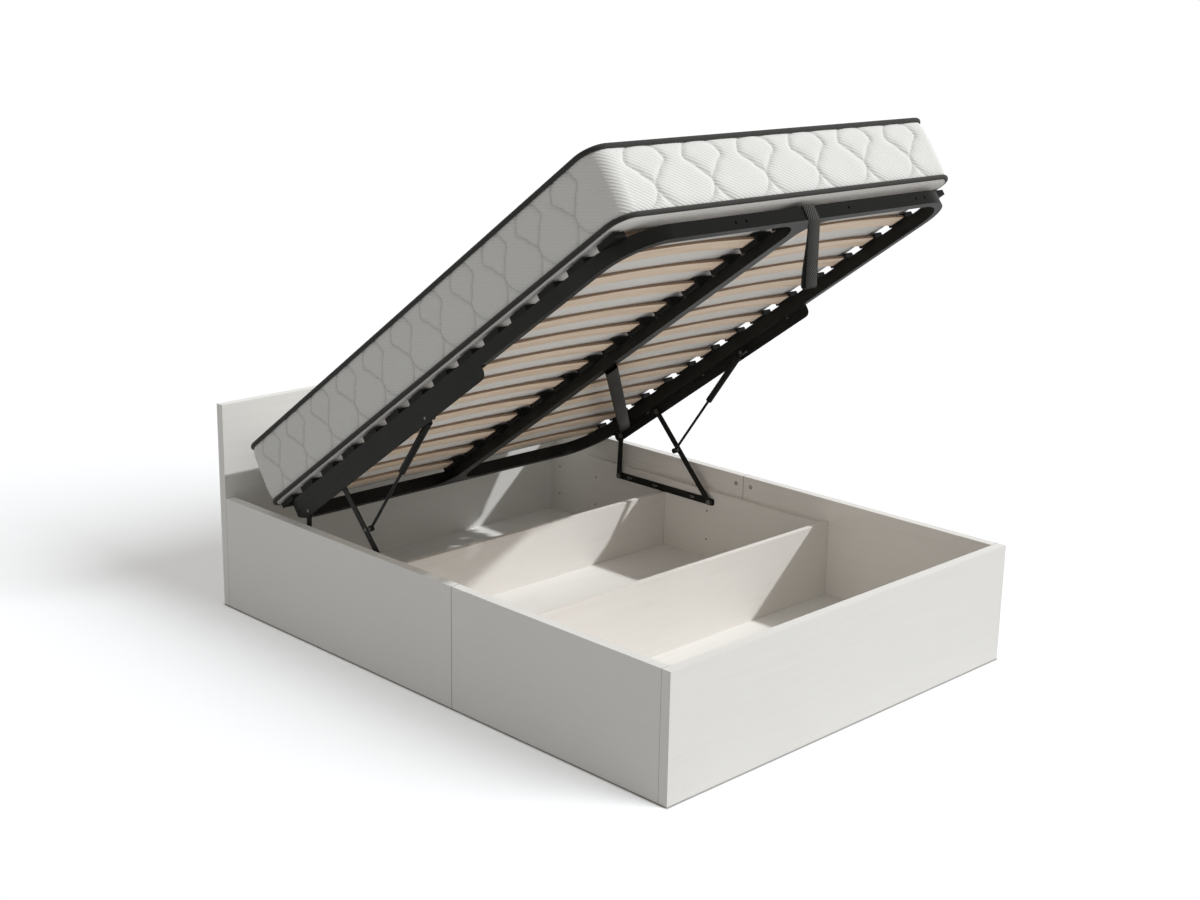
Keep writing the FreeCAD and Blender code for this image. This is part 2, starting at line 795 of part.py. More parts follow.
def channel(pitch):
    """Cutter for one quilting line, standing on the XY plane."""
    outer = channel_edge(pitch, channel_width / 2)
    inner = channel_edge(pitch, -channel_width / 2)
    ends = [Part.LineSegment(outer[i].Vertexes[j].Point, inner[i].Vertexes[j].Point).toShape()
            for i, j in ((0, 0), (-1, -1))]
    face = Part.Face(Part.Wire(Part.__sortEdges__(outer + inner + ends)))
    return face.extrude(V(0, 0, cover_inset + overrun))


def channels():
    """Quilting lines on the mattress's four sides, in pairs that draw in to a neck."""
    middle = V(0, -mattress_length / 2, 0)
    cuts = []
    for quarter in range(4):
        lengthwise = quarter % 2 == 0
        count = side_cells if lengthwise else end_cells
        half = mattress_length / 2 if lengthwise else mattress_half
        out = mattress_half if lengthwise else mattress_length / 2
        pitch = 2 * (half - plan_radius) / count
        floor_x = out - cover_inset + border_bulge - channel_depth
        line = channel(pitch)
        line.rotate(V(0, 0, 0), V(1, 1, 1), 120)
        for cut in (line, line.mirror(V(0, 0, 0), Y_AXIS)):
            for i in range(count):
                along = (i + 1 / 2) * pitch + plan_radius - half
                copy = cut.copy()
                copy.translate(V(floor_x, middle.y + along, cover_thickness))
                copy.rotate(middle, Z_AXIS, 90 * quarter)
                cuts.append(copy)
    return cuts


def mattress_top():
    """Top panel with its low crown."""
    high = top_seam_h + top_thickness
    slab = plan_slab(cover_inset, top_seam_h, high)
    wires = [plan_wire(cover_inset, plan_radius - cover_inset, high),
             plan_wire(crown_slope, plan_radius, mattress_thickness)]
    return join([slab, Part.makeLoft(wires, True, True)])


def piping(h):
    """Edge cord as straight and bent lengths joined into one ring."""
    r = plan_radius - piping_radius
    x = mattress_half - piping_radius
    y0 = -mattress_length + piping_radius
    y1 = -piping_radius
    pieces = []
    for sign in (-1, 1):
        pieces.append(bar_y(y0 + r, y1 - r, sign * x, h, piping_radius))
    for y in (y0, y1):
        pieces.append(bar_x(-x + r, x - r, y, h, piping_radius))
    corners = ((x - r, y1 - r), (-x + r, y1 - r), (-x + r, y0 + r), (x - r, y0 + r))
    for quarter, (cx, cy) in enumerate(corners):
        bend = Part.makeTorus(r, piping_radius, V(0, 0, 0), Z_AXIS, -180, 180, 90)
        bend.rotate(V(0, 0, 0), Z_AXIS, 90 * quarter)
        bend.translate(V(cx, cy, h))
        pieces.append(bend)
    return join(pieces)


# Pull strap
def strap_loop():
    """Webbing bolted down on the foot tube and folded over its outer wall."""
    x0 = strap_x - strap_width / 2
    x1 = strap_x + strap_width / 2
    skin = strap_fit + strap_thickness
    lap = flat_block(x0, x1, frame_s1 - strap_lap, frame_s1 + skin, tube_top + strap_fit, tube_top + skin)
    fall = flat_block(x0, x1, frame_s1 + strap_fit, frame_s1 + skin, tube_bottom - skin, tube_top + skin)
    return join([lap, fall]).cut(strap_shank(bolt_radius + hole_clearance))


def strap_shank(radius):
    """Round bar from the top of the strap's lap through the foot tube's upper wall."""
    low = tube_top - tube_wall
    high = tube_top + strap_fit + strap_thickness
    return Part.makeCylinder(radius, high - low, V(strap_x, -frame_s1 + tube_width / 2, low), Z_AXIS)


def strap_bolt():
    """Bolt with its head on the strap's lap."""
    high = tube_top + strap_fit + strap_thickness
    head = Part.makeCylinder(bolt_head_radius, bolt_head_height, V(strap_x, -frame_s1 + tube_width / 2, high), Z_AXIS)
    return join([head, strap_shank(bolt_radius)])


def strap_pivot():
    """The line that the strap's tail swings on, as (y, z), with the bed open."""
    skin = strap_fit + strap_thickness
    return lifted(frame_s1 + skin - strap_thickness, tube_bottom - skin - strap_thickness - strap_fit)


def pull_strap():
    """Hanging tail of the strap, two layers thick, round at its top where it swings."""
    y, z = strap_pivot()
    x0 = strap_x - strap_width / 2
    x1 = strap_x + strap_width / 2
    tail = block(x0, x1, y - strap_thickness, y + strap_thickness, z - strap_length, z)
    return join([tail, bar_x(x0, x1, y, z, strap_thickness)])


def build():
    """Every node of the bed by name."""
    nodes = {}
    nodes["headboard"] = end_panel(head_face_y, head_face_y + headboard_thickness, headboard_height)
    nodes["foot_panel"] = end_panel(foot_face_y - foot_panel_thickness, foot_face_y, rail_height)
    for side in ("left", "right"):
        seam = seams_y[side]
        nodes[side + "_rail_head"] = on_side(side, rail(side, seam, head_face_y))
        nodes[side + "_rail_foot"] = on_side(side, rail(side, foot_face_y, seam))
        nodes[side + "_lining"] = on_side(side, lining())
        nodes[side + "_base_plate"] = on_side(side, base_plate())
        nodes[side + "_rear_arm"] = on_side(side, rear_arm())
        nodes[side + "_front_arm"] = on_side(side, front_arm())
        nodes[side + "_arm_studs"] = on_side(side, Part.makeCompound(arm_studs()))
        nodes[side + "_gas_cylinder"] = on_side(side, gas_cylinder())
        nodes[side + "_gas_rod"] = on_side(side, gas_rod())
        nodes[side + "_lift_bracket"] = on_side(side, set_open(lift_bracket()))
        nodes[side + "_side_tube"] = on_side(side, set_open(side_tube()))
        holders = Part.makeCompound([side_holder(s) for s in slat_places])
        nodes[side + "_holders"] = on_side(side, set_open(holders))
        slats = Part.makeCompound([slat(s) for s in slat_places])
        nodes[side + "_slats"] = on_side(side, set_open(slats))

    half_divider = divider_thickness / 2
    nodes["head_divider"] = block(-lining_face, lining_face, head_divider_y - half_divider,
                                  head_divider_y + half_divider, floor_top, head_divider_top)
    nodes["foot_divider"] = block(-inner_half, inner_half, foot_divider_y - half_divider,
                                  foot_divider_y + half_divider, floor_top, foot_divider_top)
    for name, (y0, y1) in floor_spans.items():
        nodes[name] = block(-inner_half, inner_half, y0, y1, floor_bottom, floor_top)
    nodes["floor_bearers"] = Part.makeCompound(bearers())
    nodes["floor_glides"] = Part.makeCompound(glides())
    cams = []
    dowels = []
    for side in ("left", "right"):
        for y, z in cam_places(side):
            cams.append(on_side(side, bar_x(inner_half, inner_half + cam_depth, y, z, cam_radius)))
        for start, end, z in dowel_places(side):
            dowels.append(on_side(side, bar_y(start, end, rail_middle_x, z, dowel_radius)))
    nodes["cam_locks"] = Part.makeCompound(cams)
    nodes["rail_dowels"] = Part.makeCompound(dowels)
    screw_end = inner_half + lining_screw_grip
    nodes["lining_screws"] = both_sides([bar_x(lining_face, screw_end, y, z, lining_screw_radius)
                                         for y, z in lining_screw_places()])
    nodes["base_plate_screws"] = both_sides([plate_screw(y) for y in base_slots()])
    nodes["base_pivots"] = both_sides([base_pivot(rear_base), base_pivot(front_base)])
    nodes["lift_pivots"] = both_sides([frame_pivot(), gas_stud()])

    bolts = both_sides([bracket_bolt(s) for s in bolt_places()]).Solids
    nodes["bracket_bolts"] = set_open(Part.makeCompound(bolts + [strap_bolt()]))
    nodes["head_bow"] = set_open(head_bow())
    nodes["foot_bow"] = set_open(foot_bow())
    nodes["tube_sleeves"] = set_open(both_sides([sleeve(bow_end_s0), sleeve(bow_end_s1)]))
    nodes["centre_beam"] = set_open(centre_beam())
    head_gusset = gusset(frame_s0 + tube_width, 1)
    foot_gusset = gusset(frame_s1 - tube_width, -1)
    gussets = [head_gusset, mirrored(head_gusset), foot_gusset, mirrored(foot_gusset)]
    nodes["beam_gussets"] = set_open(Part.makeCompound(gussets))
    nodes["diagonal_brace"] = set_open(diagonal_brace())
    nodes["centre_holders"] = set_open(Part.makeCompound([centre_holder(s) for s in slat_places]))

    nodes["mattress_bottom"] = set_open(plan_slab(cover_inset, 0, cover_thickness))
    nodes["mattress_border"] = set_open(border())
    nodes["mattress_top"] = set_open(mattress_top())
    nodes["bottom_piping"] = set_open(piping(cover_thickness))
    nodes["top_piping"] = set_open(piping(top_seam_h))
    nodes["strap_loop"] = set_open(strap_loop())
    nodes["pull_strap"] = pull_strap()
    return nodes


if __name__ == "__main__":
    os.makedirs("parts", exist_ok=True)
    for name, shape in build().items():
        shape.exportStep("parts/" + name + ".step")
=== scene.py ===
import bpy
import json
import math
import numpy as np
from mathutils import Matrix, Vector, kdtree, noise

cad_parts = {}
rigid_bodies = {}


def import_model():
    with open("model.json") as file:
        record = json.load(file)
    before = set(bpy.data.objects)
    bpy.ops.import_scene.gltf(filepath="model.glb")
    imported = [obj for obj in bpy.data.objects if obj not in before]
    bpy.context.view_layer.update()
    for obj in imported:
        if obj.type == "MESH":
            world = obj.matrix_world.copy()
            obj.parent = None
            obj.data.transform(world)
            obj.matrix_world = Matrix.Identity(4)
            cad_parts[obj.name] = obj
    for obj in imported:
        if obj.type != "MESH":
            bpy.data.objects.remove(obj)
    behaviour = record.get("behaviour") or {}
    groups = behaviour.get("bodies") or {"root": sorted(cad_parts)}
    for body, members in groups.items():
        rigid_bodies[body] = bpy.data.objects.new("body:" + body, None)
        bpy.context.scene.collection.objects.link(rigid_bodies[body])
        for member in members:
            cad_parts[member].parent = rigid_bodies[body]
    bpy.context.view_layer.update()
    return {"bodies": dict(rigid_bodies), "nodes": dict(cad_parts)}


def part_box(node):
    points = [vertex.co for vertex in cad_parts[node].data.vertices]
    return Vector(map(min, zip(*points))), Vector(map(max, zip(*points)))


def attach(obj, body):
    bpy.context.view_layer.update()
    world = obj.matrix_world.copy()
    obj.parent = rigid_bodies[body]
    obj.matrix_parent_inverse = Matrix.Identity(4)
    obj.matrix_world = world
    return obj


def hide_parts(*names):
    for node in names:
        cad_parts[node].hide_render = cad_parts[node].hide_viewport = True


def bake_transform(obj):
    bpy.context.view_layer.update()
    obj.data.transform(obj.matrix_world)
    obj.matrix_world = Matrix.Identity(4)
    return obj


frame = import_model()

# Camera, in metres, as solved from the photograph's edges
camera_place = (-3.7309, -3.7333, 2.0401)
camera_right = (0.7114, -0.70259, 0.01686)
camera_down = (-0.17471, -0.20004, -0.96409)
camera_forward = (0.68072, 0.6829, -0.26506)
camera_lens_mm = 53.774
camera_sensor_mm = 36.0

# Light, with places and sizes in metres
sun_from = (1.15, -0.64, 1.0)
sun_strength = 3.05
sun_angle = math.radians(2.0)
sun_colour = (0.985, 1.0, 1.02)
sky_strength = 0.34
sky_colour = (1.0, 0.965, 0.92, 1)
fill_size = 2.6
fill_aim = (0.0, -0.4, 0.3)
front_place = (0.8, -5.2, 0.45)
front_power = 30.0
front_colour = (1.0, 1.0, 1.0)
left_place = (-5.2, -0.6, 0.9)
left_power = 14.5
left_colour = (0.95, 1.0, 1.05)
under_place = (-0.6, -4.2, 0.75)
under_power = 40.0
under_colour = (1.0, 0.99, 0.97)
unlit_nodes = {"sun": ("foot_bow",), "front": ("headboard",), "left": ("diagonal_brace",)}
no_front_slots = ("inner_board", "black_steel", "gas_spring", "holder")

# Floor, in metres
floor_half = 40.0
floor_colour = (0.52, 0.52, 0.52, 1)
floor_seen_colour = (1.37, 1.40, 1.437)
floor_seen_glow = 0.08
floor_sun_from = (0.58, -1.35, 0.8)
floor_sun_strength = 2.4
floor_sun_angle = math.radians(44.0)
footprint_half = (0.7325, 0.9825)
# Painted contact shadow: the floor darkens towards the bed's footprint over this reach and has no glow
# inside it
contact_shadow_reach = 0.008
contact_shadow_colour = (0.62, 0.61, 0.59)

# Mattress, in metres, in the lift frame's own flat position
tilt = math.radians(35.3)
head_y = 0.7788
head_z = 0.3584
mattress_half = 0.6955
mattress_length = 1.870
plan_radius = 0.065
cover_inset = 0.0123
cover_thickness = 0.012
top_seam_h = 0.201
mattress_h = 0.213
piping_radius = 0.006
piping_rise = 0.0072
side_cells = 11
end_cells = 6
line_height_shares = (0.0, 0.09, 0.17, 0.25, 0.33, 0.41, 0.48, 0.59, 0.67, 0.74, 0.82, 0.90, 1.0)
line_out_shares = (0.25, 0.14, 0.08, 0.012, 0.0, 0.006, 0.09, 0.19, 0.285, 0.335, 0.33, 0.27, 0.13)
line_points = 90
line_smooth = 9
line_step = 0.004
scallop_depth = 0.0026
scallop_turns = 4.5
border_step = 0.0036
corner_columns = 22
border_rows = 54
border_bulge = 0.0118
seam_reach = 0.013
line_reach = 0.0085
line_depth_share = 0.66
# Reach of the painted crease shade beside each quilting line
crease_shade_reach = 0.0019
uneven = 0.0012
uneven_scale = 14.0
uneven_level = 0.5
panel_step = 0.008
crown_reach = 0.035
top_lines = 11
top_wave = 0.36
top_swing_share = 0.36
top_line_depth = 0.005
top_line_reach = 0.012
top_back_drop = 0.00325
under_roll = 0.004
under_reach = 0.016
under_step = 0.016
piping_step = 0.045
piping_corner = 12
piping_sides = 14

# Pull strap, in metres
strap_x = 0.0
strap_width = 0.048
strap_thickness = 0.0024
strap_fit = 0.0005
strap_drop = 0.185
strap_lap = 0.022
strap_belly = 0.016
strap_sewn = 0.012
strap_steps = 26
strap_bend_points = 9
strap_fold_points = 10
frame_end_s = 1.860
tube_top_h = -0.022
tube_bottom_h = -0.062

# Edge rounding of the carried-over pieces, in metres, with its number of steps
board_round = 0.0012
steel_round = 0.0026
small_round = 0.0006
slat_round = 0.002
weld_reach = 0.00002
round_angle = math.radians(35)
roundings = {
    "board": (board_round, 2),
    "inner_board": (board_round, 2),
    "birch": (slat_round, 3),
    "holder": (small_round, 2),
}
edge_samples = 4
round_samples = 6
edge_gain = 6.0

# Board, with lengths in metres: dark, middle and pale tones, and the grain's scale along X or Y
white_tones = ((0.81, 0.802, 0.77), (0.845, 0.838, 0.808), (0.865, 0.858, 0.828))
warm_tones = ((0.755, 0.718, 0.668), (0.83, 0.798, 0.755), (0.855, 0.825, 0.782))
floor_tones = ((0.755, 0.735, 0.70), (0.825, 0.81, 0.78), (0.85, 0.835, 0.805))
board_tones = {"board": white_tones, "inner_board": warm_tones, "floor_board": floor_tones}
grain_scales = ((5.0, 90.0, 90.0), (90.0, 5.0, 90.0))
grain_detail = 5.0
grain_roughness = 0.62
grain_share = 0.6
board_cloud_scale = 2.2
board_cloud_share = 0.4
tone_stops = (0.2, 0.5, 0.8)
board_roughness = 0.5
board_rough_range = (0.42, 0.6)
board_wear_reach = 0.0018
board_wear_share = 0.3
pore_scale = 4
pore_depth = 0.0004
pore_share = 0.12
# Painted shade in the gaps where boards meet, as a dark line of this half width and colour
joint_shade_half = 0.0011
joint_shade_colour = (0.25, 0.24, 0.22)

# Coated steel, plated metal and plastic, with lengths in metres
cloud_stops = (0.3, 0.7)
steel_colour = (0.018, 0.018, 0.016)
# Lighter colours for the steel's edges: rubbed wear and a painted edge highlight
steel_worn_highlight = (0.06, 0.058, 0.054)
steel_roughness = 0.42
spring_colour = (0.016, 0.016, 0.015)
spring_worn_highlight = (0.06, 0.06, 0.06)
spring_roughness = 0.4
dull_specular = 0.08
coat_skin_scale = 700.0
coat_skin_depth = 0.0003
coat_skin_share = 0.22
coat_patch_scale = 9.0
coat_patch_detail = 4.0
coat_patch_shares = (0.8, 1.25)
coat_wear_highlight_reach = 0.0016
coat_rough_range = (-0.08, 0.1)
zinc_colour = (0.17, 0.165, 0.155)
cam_colour = (0.42, 0.40, 0.37)
metal_roughness = 0.45
metal_share = 0.9
metal_mark_scale = 420.0
metal_mark_detail = 3.0
metal_mark_depth = 0.0002
metal_mark_share = 0.1
metal_cloud_scale = 40.0
metal_cloud_shares = (0.75, 1.0)
metal_rough_range = (-0.08, 0.15)
glide_colour = (0.10, 0.10, 0.10)
glide_roughness = 0.6
holder_colour = (0.016, 0.016, 0.015)
holder_roughness = 0.65
plastic_grain_scale = 900.0
plastic_grain_depth = 0.0003
plastic_grain_share = 0.25
plastic_cloud_scale = 25.0
plastic_cloud_shares = (0.8, 1.3)
plastic_rough_range = (-0.1, 0.1)

# Wood, with lengths in metres
# The birch's third tone goes on its long edge faces: partly the laminated edge's colour, partly painted
# shade
birch_tones = ((0.68, 0.53, 0.395), (0.825, 0.685, 0.55), (0.21, 0.135, 0.085))
birch_scale = (2.5, 60.0, 60.0)
birch_edge_axis = (0.0, -math.cos(tilt), math.sin(tilt))
pine_tones = ((0.45, 0.30, 0.16), (0.62, 0.45, 0.27), (0.55, 0.38, 0.22))
pine_scale = (1.5, 40.0, 40.0)
pine_edge_axis = (1.0, 0.0, 0.0)
wood_roughness = 0.6
wood_rough_range = (0.5, 0.75)
wood_grain_detail = 6.0
wood_grain_roughness = 0.6
wood_grain_depth = 0.0006
wood_grain_share = 0.2
wood_stops = (0.32, 0.6)
wood_fleck_scale = 3
wood_shade_scale = (0.6, 9.0, 9.0)
wood_shade_detail = 1.0
wood_shade_range = (0.0, 0.35)
wood_edge_limit = 0.6

# Cloth, with lengths in metres, and the wave pattern's phase over one metre at a scale of 1
knit_colour = (0.80, 0.80, 0.78)
knit_shade = (0.76, 0.76, 0.735)
knit_rib = 0.0088
knit_cross = 0.0050
knit_slant = math.radians(29)
knit_depth = 0.0011
knit_sheen = 0.1
underside_colour = (0.80, 0.787, 0.765)
underside_shade = (0.73, 0.716, 0.69)
underside_weave = 0.0024
underside_depth = 0.0004
underside_sheen = 0.1
tape_colour = (0.055, 0.053, 0.049)
tape_shade = (0.026, 0.026, 0.023)
tape_rib = 0.0016
tape_cross = 0.0022
tape_depth = 0.0004
tape_sheen = 0.2
webbing_colour = (0.14, 0.14, 0.13)
webbing_shade = (0.018, 0.018, 0.016)
webbing_rib = 0.0066
webbing_cross = 0.0033
webbing_slant = math.radians(45)
webbing_depth = 0.0016
webbing_sheen = 0.02
cloth_roughness = 0.95
cloth_specular = 0.1
sheen_roughness = 0.6
wave_phase = 20
wave_distortion = 0.6
cross_range = (0.7, 1.0)
fuzz_scale = 900.0
fuzz_share = 0.25
cloth_cloud_scale = 12.0
cloth_cloud_detail = 3.0
cloth_cloud_range = (0.0, 0.25)
cloth_bump_share = 0.7
# Painted crease shade, together with the stitch thread's darker colour
crease_shade_share = 0.48
crease_shade_dark_share = 0.25
fine_detail = 2.0


# Shader helpers
def new_material(name, colour, roughness):
    """A material with its shader's plain colour and roughness."""
    made = bpy.data.materials.new(name)
    made.use_nodes = True
    shader = made.node_tree.nodes["Principled BSDF"]
    shader.inputs["Base Color"].default_value = (*colour, 1)
    shader.inputs["Roughness"].default_value = roughness
    return made, made.node_tree, shader


def add(tree, kind, **inputs):
    """A new shader node with some of its sockets set or linked."""
    made = tree.nodes.new(kind)
    for key, value in inputs.items():
        socket = made.inputs[key.replace("_", " ")]
        if isinstance(value, bpy.types.NodeSocket):
            tree.links.new(value, socket)
        else:
            socket.default_value = value
    return made


def math_node(tree, operation, first, second=None, clamp=False):
    """One step of arithmetic between sockets or numbers."""
    made = tree.nodes.new("ShaderNodeMath")
    made.operation = operation
    made.use_clamp = clamp
    for socket, value in zip(made.inputs, (first, second)):
        if isinstance(value, bpy.types.NodeSocket):
            tree.links.new(value, socket)
        elif value is not None:
            socket.default_value = value
    return made.outputs[0]


def dot_product(tree, first, second):
    """The dot product of a socket with another socket or a direction."""
    made = tree.nodes.new("ShaderNodeVectorMath")
    made.operation = "DOT_PRODUCT"
    tree.links.new(first, made.inputs[0])
    if isinstance(second, bpy.types.NodeSocket):
        tree.links.new(second, made.inputs[1])
    else:
        made.inputs[1].default_value = second
    return made.outputs["Value"]


def stretched(tree, scale=(1, 1, 1)):
    """Surface coordinates, stretched by a scale for each axis."""
    place = add(tree, "ShaderNodeTexCoord")
    return add(tree, "ShaderNodeMapping", Vector=place.outputs["Object"], Scale=scale).outputs["Vector"]


def noise_value(tree, vector, scale, detail=fine_detail, roughness=0.5):
    """Noise from 0 to 1."""
    made = add(tree, "ShaderNodeTexNoise", Vector=vector, Scale=scale, Detail=detail, Roughness=roughness)
    return made.outputs["Fac"]


def ramp(tree, factor, places, colours):
    """Colours by a factor, one at each place from 0 to 1."""
    made = add(tree, "ShaderNodeValToRGB", Fac=factor)
    points = made.color_ramp.elements
    while len(points) < len(places):
        points.new(1)
    for point, place, colour in zip(points, places, colours):
        point.position = place
        point.color = (*colour, 1)
    return made.outputs["Color"]


def clouded(tree, factor, colour, shares):
    """A colour that goes from one share of itself to another, by a factor."""
    return ramp(tree, factor, cloud_stops, [tuple(share * c for c in colour) for share in shares])


def mixed(tree, factor, first, second):
    """A colour between two, by a factor."""
    made = tree.nodes.new("ShaderNodeMix")
    made.data_type = "RGBA"
    # Inputs 6 and 7 and output 2 are the node's colours
    values = ((made.inputs[0], factor), (made.inputs[6], first), (made.inputs[7], second))
    for socket, value in values:
        if isinstance(value, bpy.types.NodeSocket):
            tree.links.new(value, socket)
        elif isinstance(value, tuple):
            socket.default_value = (*value, 1)
        else:
            socket.default_value = value
    return made.outputs[2]


def spread(tree, value, limits, middle=0.0):
    """A value from 0 to 1, put between two limits about a middle."""
    made = add(tree, "ShaderNodeMapRange", Value=value)
    made.inputs["To Min"].default_value = middle + limits[0]
    made.inputs["To Max"].default_value = middle + limits[1]
    return made.outputs["Result"]


def bump(tree, shader, height, strength, distance, under=None):
    """Relief on a shader's surface, on top of a given normal where there is one."""
    made = add(tree, "ShaderNodeBump", Height=height, Strength=strength, Distance=distance)
    if under is not None:
        tree.links.new(under, made.inputs["Normal"])
    tree.links.new(made.outputs["Normal"], shader.inputs["Normal"])


def rounded_normal(tree, radius, samples):
    """The surface's normal with its edges rounded."""
    made = add(tree, "ShaderNodeBevel", Radius=radius)
    made.samples = samples
    return made.outputs["Normal"]


def edge_mask(tree, radius):
    """1 along a piece's edges and 0 on its faces."""
    plain = tree.nodes.new("ShaderNodeNewGeometry")
    same = dot_product(tree, rounded_normal(tree, radius, edge_samples), plain.outputs["Normal"])
    turned = math_node(tree, "SUBTRACT", 1.0, same)
    return math_node(tree, "MULTIPLY", turned, edge_gain, clamp=True)


# Materials
def joint_shade_lines(tree, places):
    """1 in a thin line across Y at each place, where two boards meet, and 0 elsewhere: the painted shade
    of the gap between them.
    """
    y = add(tree, "ShaderNodeSeparateXYZ", Vector=stretched(tree)).outputs["Y"]
    found = None
    for place in places:
        away = math_node(tree, "ABSOLUTE", math_node(tree, "SUBTRACT", y, place))
        line = math_node(tree, "LESS_THAN", away, joint_shade_half)
        found = line if found is None else math_node(tree, "MAXIMUM", found, line)
    return found


def shaded_inner_face(tree):
    """1 on an outer board's face that looks across the middle, along X, and 0 elsewhere: where the
    painted warm shade goes.
    """
    place = add(tree, "ShaderNodeTexCoord")
    x = add(tree, "ShaderNodeSeparateXYZ", Vector=place.outputs["Object"]).outputs["X"]
    facing = add(tree, "ShaderNodeSeparateXYZ", Vector=place.outputs["Normal"]).outputs["X"]
    return math_node(tree, "LESS_THAN", math_node(tree, "MULTIPLY", x, facing), -footprint_half[0] / 2)


def board(name, tones, scale, joints=(), inside=None):
    """Melamine board with a faint printed grain, along the axis with the small scale.

    It has painted shade lines at its joints. Where inside is given, the faces towards the middle take its
    tones as a painted warm shade."""
    dark, colour, _ = tones
    made, tree, shader = new_material(name, colour, board_roughness)
    grain = noise_value(tree, stretched(tree, scale), 1.0, grain_detail, grain_roughness)
    cloud = noise_value(tree, stretched(tree), board_cloud_scale)
    weighed = [math_node(tree, "MULTIPLY", value, share)
               for value, share in ((grain, grain_share), (cloud, board_cloud_share))]
    both = math_node(tree, "ADD", *weighed)
    printed = ramp(tree, both, tone_stops, tones)
    # Painted warm shade: the rail faces that look into the box take the inside tones
    if inside:
        printed = mixed(tree, shaded_inner_face(tree), printed, ramp(tree, both, tone_stops, inside))
    edges = math_node(tree, "MULTIPLY", edge_mask(tree, board_wear_reach), board_wear_share)
    tone = mixed(tree, edges, printed, dark)
    if joints:
        # Painted shade along the joints between boards
        tone = mixed(tree, joint_shade_lines(tree, joints), tone, joint_shade_colour)
    tree.links.new(tone, shader.inputs["Base Color"])
    tree.links.new(spread(tree, grain, board_rough_range), shader.inputs["Roughness"])
    pores = noise_value(tree, stretched(tree, tuple(pore_scale * s for s in scale)), 1.0)
    bump(tree, shader, pores, pore_share, pore_depth)
    return made


def painted_steel(name, colour, worn_highlight, roughness):
    """Powder coat with an orange-peel skin, lighter along its edges: rubbed wear and a painted edge
    highlight.
    """
    made, tree, shader = new_material(name, colour, roughness)
    shader.inputs["Specular IOR Level"].default_value = dull_specular
    skin = noise_value(tree, stretched(tree), coat_skin_scale)
    patches = noise_value(tree, stretched(tree), coat_patch_scale, coat_patch_detail)
    tone = clouded(tree, patches, colour, coat_patch_shares)
    # Lighter along the edges: partly rubbed wear, partly a painted highlight
    rubbed_highlight = math_node(tree, "MULTIPLY", edge_mask(tree, coat_wear_highlight_reach), patches)
    tree.links.new(mixed(tree, rubbed_highlight, tone, worn_highlight), shader.inputs["Base Color"])
    tree.links.new(spread(tree, patches, coat_rough_range, roughness), shader.inputs["Roughness"])
    rounded = rounded_normal(tree, steel_round, round_samples)
    bump(tree, shader, skin, coat_skin_share, coat_skin_depth, rounded)
    return made


def bare_metal(name, colour, roughness):
    """Plated metal with fine turning marks."""
    made, tree, shader = new_material(name, colour, roughness)
    shader.inputs["Metallic"].default_value = metal_share
    marks = noise_value(tree, stretched(tree), metal_mark_scale, metal_mark_detail)
    cloud = noise_value(tree, stretched(tree), metal_cloud_scale)
    tree.links.new(clouded(tree, cloud, colour, metal_cloud_shares), shader.inputs["Base Color"])
    tree.links.new(spread(tree, marks, metal_rough_range, roughness), shader.inputs["Roughness"])
    bump(tree, shader, marks, metal_mark_share, metal_mark_depth)
    return made


def plastic(name, colour, roughness):
    """Moulded plastic with a fine spark-eroded grain."""
    made, tree, shader = new_material(name, colour, roughness)
    shader.inputs["Specular IOR Level"].default_value = dull_specular
    grain = noise_value(tree, stretched(tree), plastic_grain_scale)
    cloud = noise_value(tree, stretched(tree), plastic_cloud_scale)
    tree.links.new(clouded(tree, cloud, colour, plastic_cloud_shares), shader.inputs["Base Color"])
    tree.links.new(spread(tree, grain, plastic_rough_range, roughness), shader.inputs["Roughness"])
    bump(tree, shader, grain, plastic_grain_share, plastic_grain_depth)
    return made


def wood(name, tones, scale, edge_axis):
    """Bare wood with grain along one axis and another tone on the edges that look along edge_axis; on the
    slats this dark tone is partly their laminated edge and partly painted shade.
    """
    dark, colour, edge = tones
    made, tree, shader = new_material(name, colour, wood_roughness)
    grain = noise_value(tree, stretched(tree, scale), 1.0, wood_grain_detail, wood_grain_roughness)
    fleck = noise_value(tree, stretched(tree, tuple(wood_fleck_scale * s for s in scale)), 1.0)
    shading = noise_value(tree, stretched(tree, wood_shade_scale), 1.0, wood_shade_detail)
    tone = ramp(tree, grain, wood_stops, (dark, colour))
    shade = mixed(tree, spread(tree, shading, wood_shade_range), tone, dark)
    place = add(tree, "ShaderNodeTexCoord")
    facing = math_node(tree, "ABSOLUTE", dot_product(tree, place.outputs["Normal"], edge_axis))
    # Edge faces take the third tone, on the slats partly painted shade
    side = math_node(tree, "GREATER_THAN", facing, wood_edge_limit)
    tree.links.new(mixed(tree, side, shade, edge), shader.inputs["Base Color"])
    tree.links.new(spread(tree, fleck, wood_rough_range), shader.inputs["Roughness"])
    bump(tree, shader, grain, wood_grain_share, wood_grain_depth)
    return made


